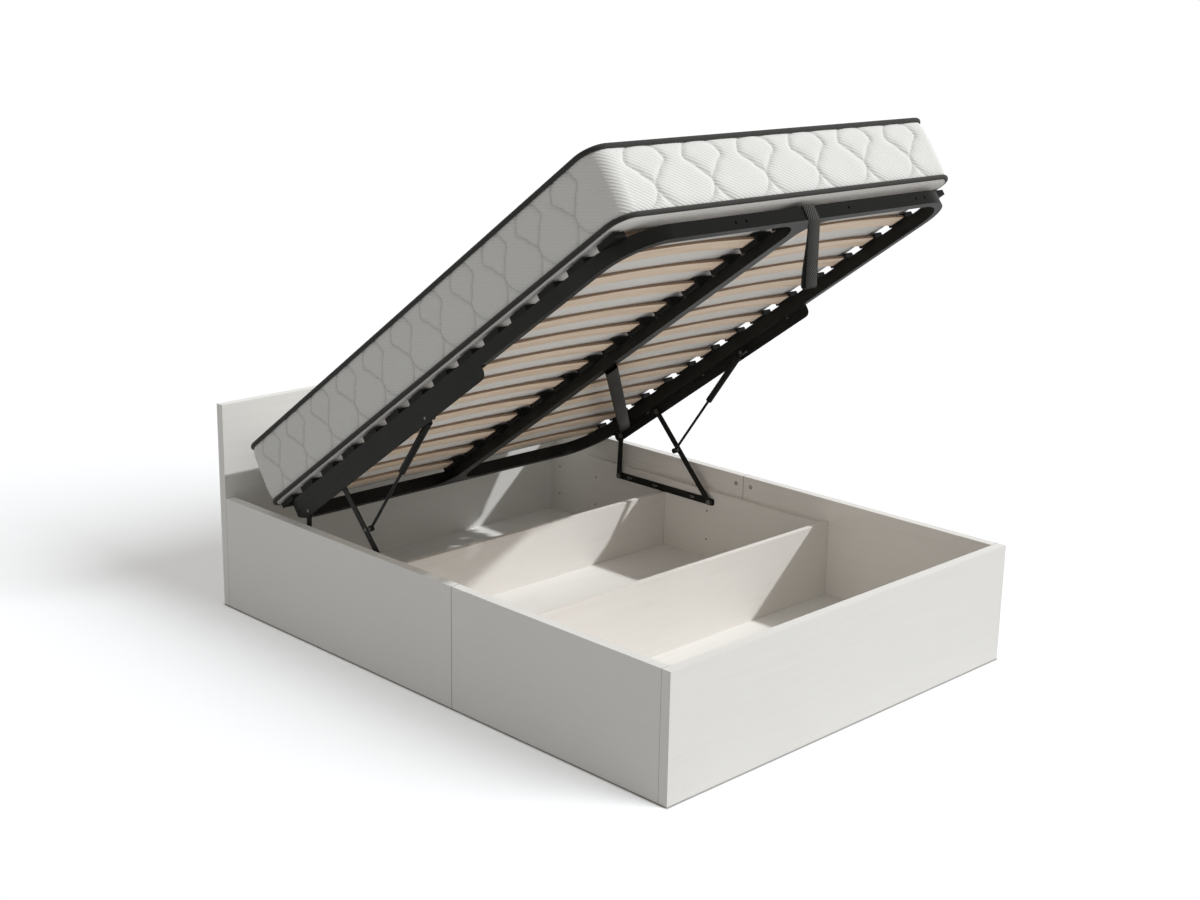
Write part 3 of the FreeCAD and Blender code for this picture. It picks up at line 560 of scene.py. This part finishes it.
def cloth(name, colour, shade, rib, cross, slant, depth, sheen):
    """Knit or woven cloth: slanted ribs with small stitches across them, darker in a crease, which is
    partly painted crease shade and partly the stitch thread's darker colour.
    """
    made, tree, shader = new_material(name, colour, cloth_roughness)
    shader.inputs["Specular IOR Level"].default_value = cloth_specular
    shader.inputs["Sheen Weight"].default_value = sheen
    shader.inputs["Sheen Roughness"].default_value = sheen_roughness
    place = add(tree, "ShaderNodeTexCoord")
    mapping = add(tree, "ShaderNodeMapping", Vector=place.outputs["UV"], Rotation=(0, 0, slant))
    turned = mapping.outputs["Vector"]
    waves = []
    for direction, pitch in (("Y", rib), ("X", cross)):
        wave = add(tree, "ShaderNodeTexWave", Vector=turned, Scale=math.tau / wave_phase / pitch)
        wave.inputs["Distortion"].default_value = wave_distortion
        wave.bands_direction = direction
        waves.append(wave.outputs["Fac"])
    stitch = math_node(tree, "MULTIPLY", waves[0], spread(tree, waves[1], cross_range))
    fuzz = noise_value(tree, stretched(tree), fuzz_scale)
    cloud = noise_value(tree, stretched(tree), cloth_cloud_scale, cloth_cloud_detail)
    height = math_node(tree, "ADD", stitch, math_node(tree, "MULTIPLY", fuzz, fuzz_share))
    tone = mixed(tree, stitch, shade, colour)
    tone = mixed(tree, spread(tree, cloud, cloth_cloud_range), tone, shade)
    # Painted shade in the quilting creases, with the stitch thread's darker colour
    crease = tree.nodes.new("ShaderNodeAttribute")
    crease.attribute_name = "crease"
    deep = math_node(tree, "MULTIPLY", crease.outputs["Fac"], crease_shade_share)
    crease_shade_colour = tuple(crease_shade_dark_share * c for c in shade)
    tree.links.new(mixed(tree, deep, tone, crease_shade_colour), shader.inputs["Base Color"])
    bump(tree, shader, height, cloth_bump_share, depth)
    return made


finishes = {
    "black_steel": painted_steel("black_steel_coat", steel_colour, steel_worn_highlight, steel_roughness),
    "gas_spring": painted_steel("gas_spring_coat", spring_colour, spring_worn_highlight, spring_roughness),
    "zinc": bare_metal("zinc_plate", zinc_colour, metal_roughness),
    "cam": bare_metal("cam_nickel", cam_colour, metal_roughness),
    "glide": plastic("glide_plastic", glide_colour, glide_roughness),
    "holder": plastic("holder_plastic", holder_colour, holder_roughness),
    "birch": wood("birch_veneer", birch_tones, birch_scale, birch_edge_axis),
    "pine": wood("pine_batten", pine_tones, pine_scale, pine_edge_axis),
}
knit = cloth("mattress_knit", knit_colour, knit_shade,
             knit_rib, knit_cross, knit_slant, knit_depth, knit_sheen)
underside = cloth("mattress_underside", underside_colour, underside_shade,
                  underside_weave, underside_weave, 0.0, underside_depth, underside_sheen)
tape = cloth("piping_tape", tape_colour, tape_shade,
             tape_rib, tape_cross, 0.0, tape_depth, tape_sheen)
webbing = cloth("strap_webbing", webbing_colour, webbing_shade,
                webbing_rib, webbing_cross, webbing_slant, webbing_depth, webbing_sheen)
boards = {}
for kind, tones in board_tones.items():
    for axis, scale in enumerate(grain_scales):
        boards[kind, axis] = board(kind + "_" + "xy"[axis], tones, scale)
rails = {}
for side in ("left", "right"):
    foot_low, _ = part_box(side + "_rail_foot")
    head_low, head_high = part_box(side + "_rail_head")
    seams = (foot_low.y, head_low.y, head_high.y)
    # Each rail's faces towards the middle get the warm tones as painted shade
    rails[side] = board(side + "_rail_board", white_tones, grain_scales[1], seams, warm_tones)


# Carried-over pieces
def long_axis(node):
    """0 or 1: the level axis that a board's grain runs along."""
    low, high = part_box(node)
    return 0 if high.x - low.x > high.y - low.y else 1


def finish_of(node, slot):
    """A carried-over piece's material, or None for one that a soft piece stands for."""
    if "_rail_" in node:
        return rails[node.split("_")[0]]
    if slot in board_tones:
        kind = "floor_board" if node.endswith("_floor") else slot
        return boards[kind, long_axis(node)]
    return finishes.get(slot)


def rounded_edges(piece, width, segments):
    """Joins the mesh's split corners and rounds its edges, as modifiers."""
    weld = piece.modifiers.new("weld", "WELD")
    weld.merge_threshold = weld_reach
    edge = piece.modifiers.new("edge", "BEVEL")
    edge.limit_method = "ANGLE"
    edge.angle_limit = round_angle
    edge.width = width
    edge.segments = segments
    edge.use_clamp_overlap = True


unlit = {lamp_name: [frame["nodes"][node] for node in nodes] for lamp_name, nodes in unlit_nodes.items()}
for node, piece in frame["nodes"].items():
    slot = piece.material_slots[0].material.name
    if slot in no_front_slots:
        unlit["front"].append(piece)
    finish = finish_of(node, slot)
    if finish:
        piece.material_slots[0].material = finish
    if slot in roundings:
        rounded_edges(piece, *roundings[slot])


# Mattress
def lifted(x, s, h):
    """Points of the flat lift frame, set in its open position."""
    y = head_y - s * math.cos(tilt) + h * math.sin(tilt)
    z = head_z + s * math.sin(tilt) + h * math.cos(tilt)
    return np.stack(np.broadcast_arrays(x, y, z), -1)


def outline(step, columns):
    """The mattress's outline, with its corners in a number of columns.

    It gives points and outward normals in plan, distances along it, each point's side and place there,
    and the whole length."""
    half_length = mattress_length / 2
    along, places, normals, sides = [], [], [], []
    start = 0.0
    for side in range(4):
        half = mattress_half if side % 2 == 0 else half_length
        out = half_length if side % 2 == 0 else mattress_half
        run = half - plan_radius
        forward = np.array(((1, 0), (0, 1), (-1, 0), (0, -1))[side], float)
        outward = np.array((forward[1], -forward[0]))
        count = max(2, round(2 * run / step))
        for i in range(count):
            t = -run + 2 * run * i / count
            places.append(forward * t + outward * out)
            normals.append(outward)
            along.append(start + t + run)
            sides.append((side, t))
        start += 2 * run
        centre = forward * run + outward * (out - plan_radius)
        for i in range(columns):
            turn = math.pi / 2 * i / columns
            normal = outward * math.cos(turn) + forward * math.sin(turn)
            places.append(centre + plan_radius * normal)
            normals.append(normal)
            along.append(start + plan_radius * turn)
            sides.append((None, 0.0))
        start += plan_radius * math.pi / 2
    return np.array(places), np.array(normals), np.array(along), sides, start


def plan_to_frame(plan, h):
    """Plan points about the mattress's middle, at a height, in the open position."""
    return lifted(plan[..., 0], mattress_length / 2 - plan[..., 1], h)


def mesh_piece(name, points, faces, cloth_lengths, material, creases=None):
    """A smooth mesh with cloth lengths for each face corner, and how deep in a crease each point is, for
    the painted crease shade.
    """
    mesh = bpy.data.meshes.new(name)
    mesh.from_pydata([tuple(p) for p in points], [], faces)
    layer = mesh.uv_layers.new(name="cloth")
    layer.data.foreach_set("uv", np.asarray(cloth_lengths, np.float32).ravel())
    mesh.polygons.foreach_set("use_smooth", np.ones(len(faces), bool))
    if creases is not None:
        depth = mesh.attributes.new("crease", "FLOAT", "POINT")
        depth.data.foreach_set("value", np.asarray(creases, np.float32))
    mesh.materials.append(material)
    mesh.update()
    piece = bpy.data.objects.new(name, mesh)
    bpy.context.scene.collection.objects.link(piece)
    return piece


def ring_faces(columns, rows, closed):
    """Four-sided faces of a band of rings, each with its corners' column and row."""
    faces, corners = [], []
    for r in range(rows if closed else rows - 1):
        above = (r + 1) % rows
        for c in range(columns):
            beside = (c + 1) % columns
            low, high = r * columns, above * columns
            faces.append((low + c, low + beside, high + beside, high + c))
            corners.append(((c, r), (c + 1, r), (c + 1, r + 1), (c, r + 1)))
    return faces, corners


def quilting_line(pitch):
    """Half of one quilting cell's outline, as distances from the cell's middle by height."""
    rise = top_seam_h - cover_thickness
    height_shares = np.linspace(0, 1, line_points)
    out_shares = np.interp(height_shares, line_height_shares, line_out_shares)
    ends = np.pad(out_shares, line_smooth // 2, mode="edge")
    out_shares = np.convolve(ends, np.ones(line_smooth) / line_smooth, "valid")
    scallop = scallop_depth * np.sin(math.tau * scallop_turns * height_shares)
    return pitch * out_shares + scallop * out_shares / max(line_out_shares), rise * height_shares


def line_tree(lines):
    """A search tree of the points on the quilting lines."""
    dense = []
    for x, h in lines:
        for a, b, c, d in zip(x[:-1], h[:-1], x[1:], h[1:]):
            parts = max(1, math.ceil(math.hypot(c - a, d - b) / line_step))
            for i in range(parts):
                dense.append((a + (c - a) * i / parts, b + (d - b) * i / parts))
    tree = kdtree.KDTree(len(dense))
    for i, (x, h) in enumerate(dense):
        tree.insert((x, h, 0), i)
    tree.balance()
    return tree


def border():
    """Quilted side band, full between its seams and drawn in along every quilting line."""
    places, normals, along, sides, around = outline(border_step, corner_columns)
    rise = top_seam_h - cover_thickness
    trees = []
    for side in range(4):
        count = end_cells if side % 2 == 0 else side_cells
        half = mattress_half if side % 2 == 0 else mattress_length / 2
        pitch = 2 * (half - plan_radius) / count
        x, h = quilting_line(pitch)
        middles = [(i + 1 / 2) * pitch + plan_radius - half for i in range(count)]
        trees.append(line_tree([(m + sign * x, h) for m in middles for sign in (-1, 1)]))
    columns = len(places)
    heights = np.linspace(0, rise, border_rows)
    points, creases = [], []
    for h in heights:
        seam = 1 - math.exp(-min(h, rise - h) / seam_reach)
        for place, normal, (side, t), u in zip(places, normals, sides, along):
            away = plan_radius
            if side is not None:
                away = trees[side].find((t, h, 0))[2]
            line = 1 - line_depth_share * math.exp(-away / line_reach)
            # How much painted crease shade this point gets
            creases.append(math.exp(-away / crease_shade_reach))
            rough = uneven * noise.noise((u * uneven_scale, h * uneven_scale, uneven_level))
            inset = cover_inset - (border_bulge + rough) * seam * line
            points.append((*(place - inset * normal), cover_thickness + h))
    inner = cover_inset + cover_thickness
    for h in (top_seam_h, cover_thickness):
        points.extend((*(place - inner * normal), h) for place, normal in zip(places, normals))
    creases += [0.0] * (len(points) - len(creases))
    rows = border_rows + 2
    faces, corners = ring_faces(columns, rows, True)
    lengths_u = np.append(along, around)
    lengths_v = np.concatenate((heights, (rise, 0, 0)))
    lengths = [(lengths_u[c], lengths_v[r]) for face in corners for c, r in face]
    plan = np.array(points)
    places = plan_to_frame(plan[:, :2], plan[:, 2])
    return mesh_piece("mattress_side_band", places, faces, lengths, knit, creases)


def panel_grid(step):
    """A grid over the mattress's plan, inside its seams, that follows its round corners."""
    half_x = mattress_half - cover_inset
    half_y = mattress_length / 2 - cover_inset
    r = plan_radius - cover_inset
    nx, ny = round(2 * half_x / step), round(2 * half_y / step)
    x = np.linspace(-half_x, half_x, nx + 1)
    y = np.linspace(-half_y, half_y, ny + 1)
    gx, gy = np.meshgrid(x, y)
    px = np.maximum(np.abs(gx) - (half_x - r), 0) / r
    py = np.maximum(np.abs(gy) - (half_y - r), 0) / r
    round_x = px * np.sqrt(1 - py ** 2 / 2)
    round_y = py * np.sqrt(1 - px ** 2 / 2)
    plan_x = np.sign(gx) * (np.minimum(np.abs(gx), half_x - r) + r * round_x)
    plan_y = np.sign(gy) * (np.minimum(np.abs(gy), half_y - r) + r * round_y)
    straight = np.minimum(half_x - np.abs(plan_x), half_y - np.abs(plan_y))
    in_corner = (px > 0) & (py > 0)
    edge = np.where(in_corner, r * (1 - np.hypot(round_x, round_y)), straight)
    return plan_x, plan_y, np.maximum(edge, 0)


def panel(name, plan_x, plan_y, h, back_h, material, creases=None):
    """A closed panel: a shaped face over a flat back with the same outline."""
    rows, columns = plan_x.shape
    points = np.stack((plan_x, plan_y, h), -1).reshape(-1, 3)
    up = np.mean(h) > back_h
    faces = []
    for r in range(rows - 1):
        for c in range(columns - 1):
            a = r * columns + c
            quad = (a, a + 1, a + columns + 1, a + columns)
            faces.append(quad if up else quad[::-1])
    rim = list(range(columns))
    rim += [r * columns + columns - 1 for r in range(1, rows)]
    rim += [(rows - 1) * columns + c for c in range(columns - 2, -1, -1)]
    rim += [r * columns for r in range(rows - 2, 0, -1)]
    base = len(points)
    back = points[rim].copy()
    back[:, 2] = back_h
    points = np.concatenate((points, back))
    for i, v in enumerate(rim):
        j = (i + 1) % len(rim)
        wall = (base + i, base + j, rim[j], v)
        faces.append(wall if up else wall[::-1])
    floor = tuple(range(base + len(rim) - 1, base - 1, -1))
    faces.append(floor if up else floor[::-1])
    lengths = [points[v][:2] for face in faces for v in face]
    if creases is not None:
        creases = np.concatenate((creases.ravel(), np.zeros(len(rim))))
    return mesh_piece(name, plan_to_frame(points[:, :2], points[:, 2]), faces, lengths, material, creases)


def top_panel():
    """Quilted top: crowned, with wavy lines that draw it in."""
    plan_x, plan_y, edge = panel_grid(panel_step)
    pitch = 2 * mattress_half / top_lines
    y = np.arange(-mattress_length / 2, mattress_length / 2, line_step)
    lines = []
    for i in range(top_lines + 1):
        sign = 1 if i % 2 == 0 else -1
        x = -mattress_half + i * pitch + sign * top_swing_share * pitch * np.sin(math.tau * y / top_wave)
        lines.append((x, y))
    tree = line_tree(lines)
    nearest = [tree.find((x, y, 0))[2] for x, y in zip(plan_x.ravel(), plan_y.ravel())]
    away = np.array(nearest).reshape(plan_x.shape)
    lift = 1 - np.exp(-edge / crown_reach)
    sunk = top_line_depth * np.exp(-away / top_line_reach) * lift
    h = top_seam_h + (mattress_h - top_seam_h) * lift - sunk
    # How much painted crease shade each point gets
    creases = np.exp(-away / crease_shade_reach)
    return panel("mattress_top_panel", plan_x, plan_y, h, top_seam_h - top_back_drop, knit, creases)


def bottom_panel():
    """Plain underside, rolled up a little along its seam."""
    plan_x, plan_y, edge = panel_grid(under_step)
    h = under_roll * np.exp(-edge / under_reach)
    return panel("mattress_under_panel", plan_x, plan_y, h, cover_thickness, underside)


def piping(name, h):
    """Round taped cord along a seam."""
    places, normals, along, _, around = outline(piping_step, piping_corner)
    points = []
    for turn in np.arange(piping_sides) * math.tau / piping_sides:
        inset = piping_radius * (1 - math.cos(turn))
        plan = places - inset * normals
        points.append(plan_to_frame(plan, h + piping_rise * math.sin(turn)))
    faces, corners = ring_faces(len(places), piping_sides, True)
    lengths_u = np.append(along, around)
    girth = math.tau * piping_radius / piping_sides
    lengths = [(lengths_u[c], girth * r) for face in corners for c, r in face]
    return mesh_piece(name, np.concatenate(points), faces, lengths, tape)


def strap_path():
    """The strap's line in Y and Z: over the foot tube, down in front, round the fold and up behind."""
    lay = strap_fit + strap_thickness / 2
    bends = ((frame_end_s - strap_lap, tube_top_h + lay), (frame_end_s + lay, tube_top_h + lay),
             (frame_end_s + lay, tube_bottom_h - lay))
    places = [lifted(0.0, s, h)[1:] for s, h in bends]
    points = []
    for here, there in zip(places, places[1:]):
        points.extend(here + (there - here) * t for t in np.linspace(0, 1, strap_bend_points)[:-1])
    y, z = places[-1]
    fold = strap_belly / 2
    low = z - strap_drop + fold
    points.extend((y, z + (low - z) * t) for t in np.linspace(0, 1, strap_steps))
    for turn in np.linspace(0, math.pi, strap_fold_points)[1:-1]:
        points.append((y + fold - fold * math.cos(turn), low - fold * math.sin(turn)))
    top = z - strap_sewn
    for t in np.linspace(0, 1, strap_steps):
        open_share = (1 + math.cos(math.pi * t)) / 2
        behind = strap_thickness + (strap_belly - strap_thickness) * open_share
        points.append((y + behind, low + (top - low) * t))
    return np.array(points)


def pull_strap():
    """Webbing strap as one flat band with soft edges and closed ends."""
    path = strap_path()
    ahead = np.gradient(path, axis=0)
    ahead /= np.linalg.norm(ahead, axis=1)[:, None]
    side = np.stack((-ahead[:, 1], ahead[:, 0]), -1)
    half, thick = strap_width / 2, strap_thickness / 2
    section = ((-half, 0), (-half + thick, thick), (half - thick, thick),
               (half, 0), (half - thick, -thick), (-half + thick, -thick))
    points = []
    for place, out in zip(path, side):
        points.extend((strap_x + across, *(place + out * lift)) for across, lift in section)
    steps = np.linalg.norm(np.diff(path, axis=0), axis=1)
    along = np.concatenate(((0.0,), np.cumsum(steps)))
    faces, corners = ring_faces(len(section), len(path), False)
    across = [a for a, _ in section] + [section[0][0]]
    lengths = [(along[r], across[c]) for face in corners for c, r in face]
    first = tuple(range(len(section)))
    last = tuple(v + len(points) - len(section) for v in first)
    for end, reach in ((first[::-1], 0.0), (last, along[-1])):
        faces.append(end)
        lengths.extend((reach, a) for a, _ in section)
    piece = mesh_piece("pull_strap_belt", points, faces, lengths, webbing)
    return piece, float(along[-1])


side_band = border()
top_cover = top_panel()
under_cover = bottom_panel()
soft_pieces = (
    (side_band, "mattress_border", "knit"),
    (top_cover, "mattress_top", "knit"),
    (under_cover, "mattress_bottom", "knit"),
    (piping("top_piping_tape", top_seam_h), "top_piping", "piping"),
    (piping("bottom_piping_tape", cover_thickness), "bottom_piping", "piping"),
)
for piece, node, slot in soft_pieces:
    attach(piece, "lift_frame")
    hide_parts(node)

strap, strap_length = pull_strap()
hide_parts("pull_strap", "strap_loop")
hinge = lifted(strap_x, frame_end_s, tube_bottom_h - strap_thickness)
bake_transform(strap)


# Floor, light and camera
def seen_rays(tree):
    """1 for rays that show the background: the camera's, and those through gloss and glass."""
    path = tree.nodes.new("ShaderNodeLightPath")
    seen = math_node(tree, "MAXIMUM", path.outputs["Is Camera Ray"], path.outputs["Is Glossy Ray"])
    return math_node(tree, "MAXIMUM", seen, path.outputs["Is Transmission Ray"])


def shown_as(tree, light, seen, output):
    """Links one shader for the light that it gives and another for rays that show the background."""
    pick = tree.nodes.new("ShaderNodeMixShader")
    tree.links.new(seen_rays(tree), pick.inputs[0])
    tree.links.new(light.outputs[0], pick.inputs[1])
    tree.links.new(seen.outputs[0], pick.inputs[2])
    tree.links.new(pick.outputs[0], output.inputs["Surface"])


def floor():
    """Pale floor that shows white to the camera apart from the object's shadow and a painted contact
    shadow, darker and without glow under the bed and next to it.
    """
    mesh = bpy.data.meshes.new("floor")
    corners = [(x * floor_half, y * floor_half, 0.0) for x, y in ((-1, -1), (1, -1), (1, 1), (-1, 1))]
    mesh.from_pydata(corners, [], [(0, 1, 2, 3)])
    made = bpy.data.materials.new("floor_pale")
    made.use_nodes = True
    tree = made.node_tree
    tree.nodes.clear()
    out = add(tree, "ShaderNodeOutputMaterial")
    plain = add(tree, "ShaderNodeBsdfDiffuse", Color=floor_colour)
    place = add(tree, "ShaderNodeSeparateXYZ", Vector=stretched(tree))
    beside = None
    for axis, half in zip("XY", footprint_half):
        past = math_node(tree, "SUBTRACT", math_node(tree, "ABSOLUTE", place.outputs[axis]), half)
        beside = past if beside is None else math_node(tree, "MAXIMUM", beside, past)
    # Painted shadow: under and right beside the bed the floor loses its glow and darkens to the contact
    # shadow colour
    clear = math_node(tree, "DIVIDE", beside, contact_shadow_reach, clamp=True)
    pale = add(tree, "ShaderNodeBsdfDiffuse", Color=mixed(tree, clear, contact_shadow_colour, floor_seen_colour))
    glow = add(tree, "ShaderNodeEmission", Strength=math_node(tree, "MULTIPLY", clear, floor_seen_glow))
    both = tree.nodes.new("ShaderNodeAddShader")
    tree.links.new(pale.outputs[0], both.inputs[0])
    tree.links.new(glow.outputs[0], both.inputs[1])
    shown_as(tree, plain, both, out)
    mesh.materials.append(made)
    piece = bpy.data.objects.new("floor", mesh)
    bpy.context.scene.collection.objects.link(piece)
    return piece


def sky():
    """Even light from all round, white where it is seen."""
    world = bpy.data.worlds.new("studio")
    world.use_nodes = True
    tree = world.node_tree
    tree.nodes.clear()
    out = tree.nodes.new("ShaderNodeOutputWorld")
    light = add(tree, "ShaderNodeBackground", Color=sky_colour, Strength=sky_strength)
    seen = add(tree, "ShaderNodeBackground", Color=(1, 1, 1, 1), Strength=1.0)
    shown_as(tree, light, seen, out)
    bpy.context.scene.world = world


def lamp(name, kind, aim):
    """A lamp that shines along a direction."""
    data = bpy.data.lights.new(name, kind)
    made = bpy.data.objects.new(name, data)
    made.rotation_euler = Vector(aim).to_track_quat("-Z", "Y").to_euler()
    bpy.context.scene.collection.objects.link(made)
    return made


ground = floor()
sky()
suns = (("sun", sun_from, sun_strength, sun_angle),
        ("floor_sun", floor_sun_from, floor_sun_strength, floor_sun_angle))
for name, place, strength, angle in suns:
    sun = lamp(name, "SUN", [-v for v in place])
    sun.data.energy = strength
    sun.data.angle = angle
    sun.data.color = sun_colour
    sun.visible_glossy = False
fills = (("front", front_place, front_power, front_colour),
         ("left", left_place, left_power, left_colour),
         ("under", under_place, under_power, under_colour))
for name, place, power, colour in fills:
    fill = lamp(name, "AREA", Vector(fill_aim) - Vector(place))
    fill.location = place
    fill.data.shape = "DISK"
    fill.data.size = fill_size
    fill.data.energy = power
    fill.data.color = colour

# Which pieces each lamp lights, and which of them shade the floor
shown = [piece for piece in bpy.context.scene.objects if piece.type == "MESH" and piece != ground]
lit = {name: [piece for piece in shown if piece not in pieces] for name, pieces in unlit.items()}
lit["under"] = [frame["nodes"]["left_slats"], frame["nodes"]["right_slats"], under_cover]
lit["floor_sun"] = [ground]
for name, pieces in lit.items():
    receivers = bpy.data.collections.new("lit_by_" + name)
    for piece in pieces:
        receivers.objects.link(piece)
    bpy.data.objects[name].light_linking.receiver_collection = receivers
blockers = bpy.data.collections.new("floor_shadow_from")
for piece in frame["nodes"].values():
    if piece.parent == frame["bodies"]["box"]:
        blockers.objects.link(piece)
bpy.data.objects["floor_sun"].light_linking.blocker_collection = blockers

eye = bpy.data.cameras.new("camera")
eye.lens = camera_lens_mm
eye.sensor_width = camera_sensor_mm
eye.sensor_fit = "HORIZONTAL"
camera = bpy.data.objects.new("camera", eye)
axes = [Vector(camera_right), -Vector(camera_down), -Vector(camera_forward)]
turned = Matrix([axis.normalized() for axis in axes]).transposed().to_4x4()
camera.matrix_world = Matrix.Translation(camera_place) @ turned
bpy.context.scene.collection.objects.link(camera)
bpy.context.scene.camera = camera
bpy.context.scene.view_settings.view_transform = "Standard"
